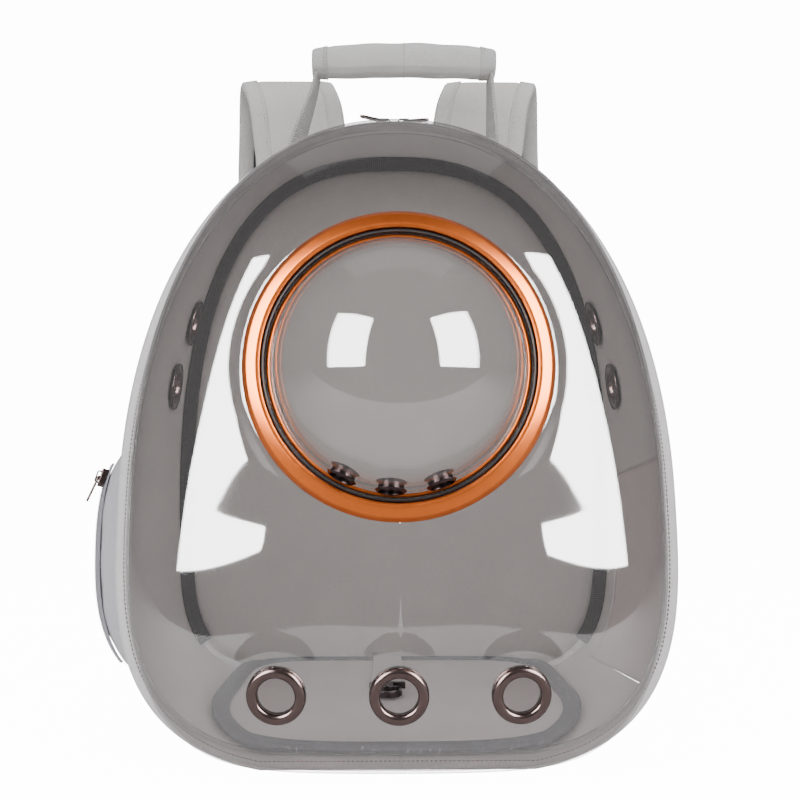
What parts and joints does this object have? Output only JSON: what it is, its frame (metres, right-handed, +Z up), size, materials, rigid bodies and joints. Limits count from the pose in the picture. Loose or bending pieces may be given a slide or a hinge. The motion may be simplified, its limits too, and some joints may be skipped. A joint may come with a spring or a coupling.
{
  "type": "bubble pet carrier backpack",
  "caption": "Backpack for carrying a small pet, with a clear formed front shell, a round bubble window in a copper ring, padded straps and a carry handle.",
  "frame": {"origin": "middle of the flat base, on the surface the carrier stands on", "axes": "+X to the right as seen from the front, +Y back towards the wearer, +Z up"},
  "size_m": [0.3822, 0.4039, 0.488],
  "materials": {
    "dark_tape": "black woven tape, dull",
    "black_plastic": "moulded, satin",
    "gunmetal": "dark gunmetal plating, polished",
    "suede": "short-pile suede cloth",
    "clear_shell": "clear smoky formed sheet, glossy",
    "mesh": "patterned mesh cloth",
    "cloth": "light grey twill",
    "zip_tape": "woven zip tape with a fine coil",
    "copper": "satin copper colour",
    "rubber": "black, smooth",
    "edging": "light grey ribbed webbing and binding"
  },
  "bodies": {
    "carrier": {"front_shell": "clear_shell", "shell_binding": "edging", "zip_tape": "zip_tape", "hinge_cloth": "cloth", "side_gusset": "cloth", "side_eyelet_left_upper": "gunmetal", "side_eyelet_left_lower": "gunmetal", "side_eyelet_right_upper": "gunmetal", "side_eyelet_right_lower": "gunmetal", "side_mesh": "mesh", "base_panel": "cloth", "back_panel": "cloth", "back_binding": "edging", "seam_tape": "dark_tape", "floor_mat": "suede", "window_ring": "copper", "window_gasket": "rubber", "window_lock_ring": "copper", "shell_eyelet_1": "gunmetal", "shell_eyelet_2": "gunmetal", "shell_eyelet_3": "gunmetal", "zip_slider_left": "gunmetal", "zip_slider_right": "gunmetal", "side_pocket": "cloth", "pocket_zip": "zip_tape", "pocket_slider": "gunmetal", "handle_grip": "cloth", "handle_web_left": "edging", "handle_web_right": "edging", "shoulder_strap_left": "cloth", "strap_buckle_left": "black_plastic", "strap_web_left": "edging", "shoulder_strap_right": "cloth", "strap_buckle_right": "black_plastic", "strap_web_right": "edging", "lead_strap": "edging", "lead_hook": "gunmetal"},
    "dome": {"bubble_dome": "clear_shell", "dome_bezel": "copper", "dome_vent_1": "gunmetal", "dome_vent_2": "gunmetal", "dome_vent_3": "gunmetal"},
    "left_pull": {"zip_pull_left": "gunmetal"},
    "right_pull": {"zip_pull_right": "gunmetal"},
    "pocket_tab": {"pocket_pull": "gunmetal"},
    "gate": {"hook_gate": "gunmetal"}
  },
  "joints": [
    {"name": "bubble_turn", "type": "hinge", "parent": "carrier", "child": "dome", "pos_m": [0, -0.15312, 0.245], "axis": [0, -0.9935, 0.1142], "range_deg": [0, 24]},
    {"name": "left_pull_hinge", "type": "hinge", "parent": "carrier", "child": "left_pull", "pos_m": [-0.008, 0.0148, 0.42385], "axis": [0, 1, 0], "range_deg": [-10, 82]},
    {"name": "right_pull_hinge", "type": "hinge", "parent": "carrier", "child": "right_pull", "pos_m": [0.006, 0.0148, 0.42385], "axis": [0, -1, 0], "range_deg": [-3, 90]},
    {"name": "pocket_pull_hinge", "type": "hinge", "parent": "carrier", "child": "pocket_tab", "pos_m": [-0.19751, -0.04647, 0.17388], "axis": [-0.308, 0.9449, -0.1112], "range_deg": [-4, 110]},
    {"name": "gate_hinge", "type": "hinge", "parent": "carrier", "child": "gate", "pos_m": [0.0042, 0.0008, 0.02005], "axis": [0, 0, 1], "range_deg": [0, 28], "stiffness_Nm_per_rad": 0.01}
  ]
}
